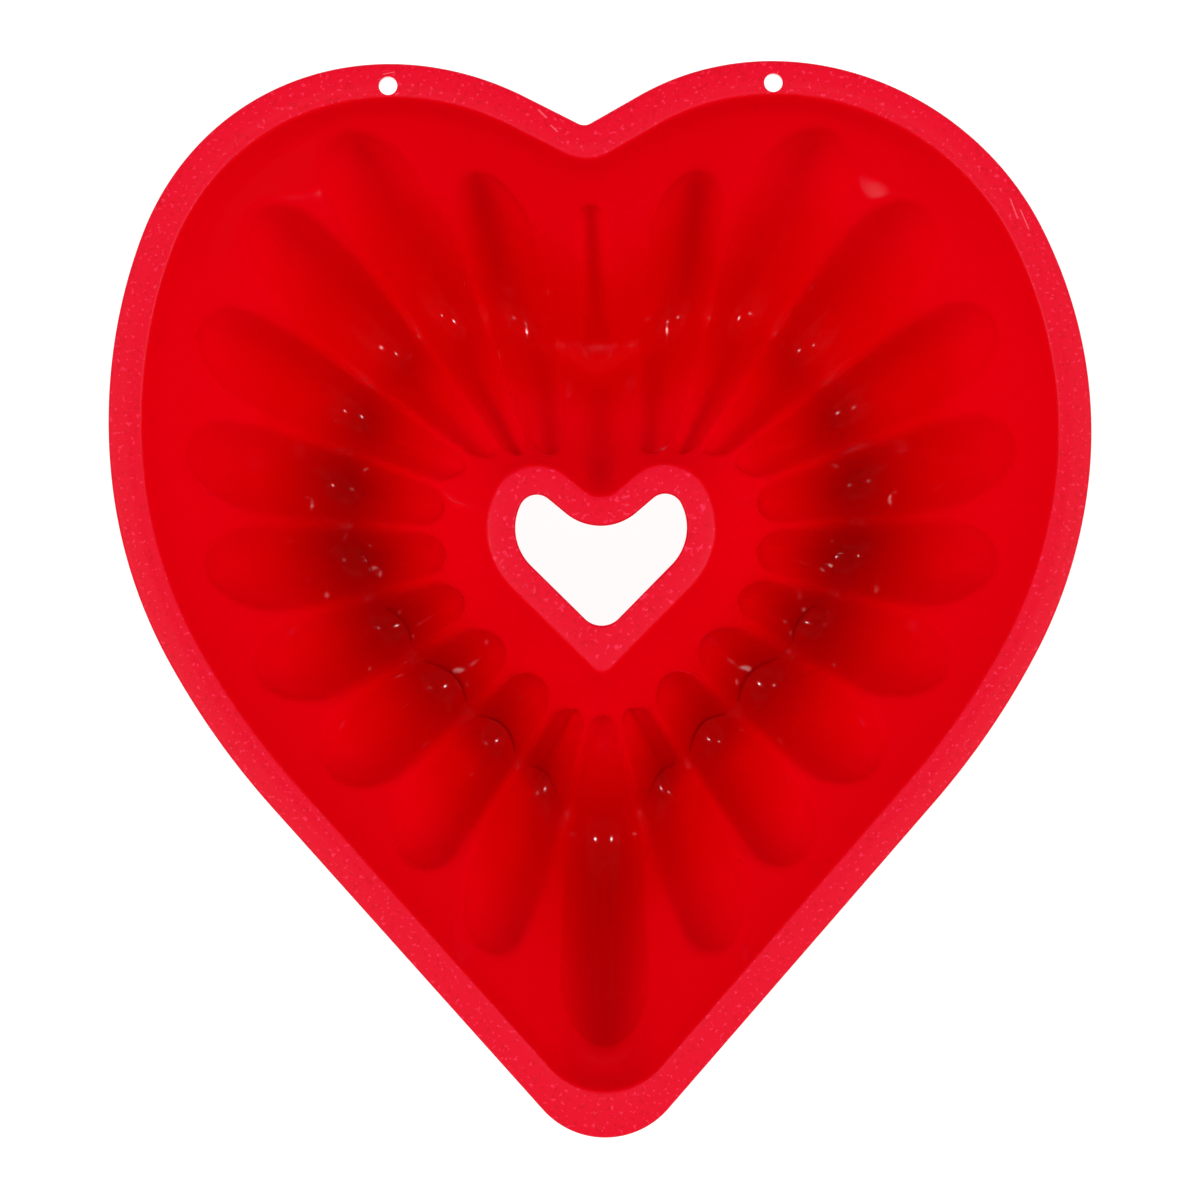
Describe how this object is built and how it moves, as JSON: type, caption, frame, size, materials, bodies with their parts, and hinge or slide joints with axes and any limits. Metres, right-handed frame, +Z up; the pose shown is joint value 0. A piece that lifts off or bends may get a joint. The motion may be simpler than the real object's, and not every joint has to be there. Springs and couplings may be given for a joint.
{
  "type": "bundt pan",
  "caption": "Heart-shaped fluted ring cake mould in soft silicone, with a flat rim, hanging holes and a heart-shaped opening through its centre tube.",
  "frame": {"origin": "middle of the footprint, on the table under the deepest troughs", "axes": "+Z up out of the open cavity, +Y from the tip of the heart to its notch, +X to the right-hand lobe"},
  "size_m": [0.2398, 0.2624, 0.06],
  "materials": {
    "red_silicone": "gloss in the cavity, satin on the rim"
  },
  "bodies": {
    "root": {"pan_body": "red_silicone"}
  },
  "joints": []
}
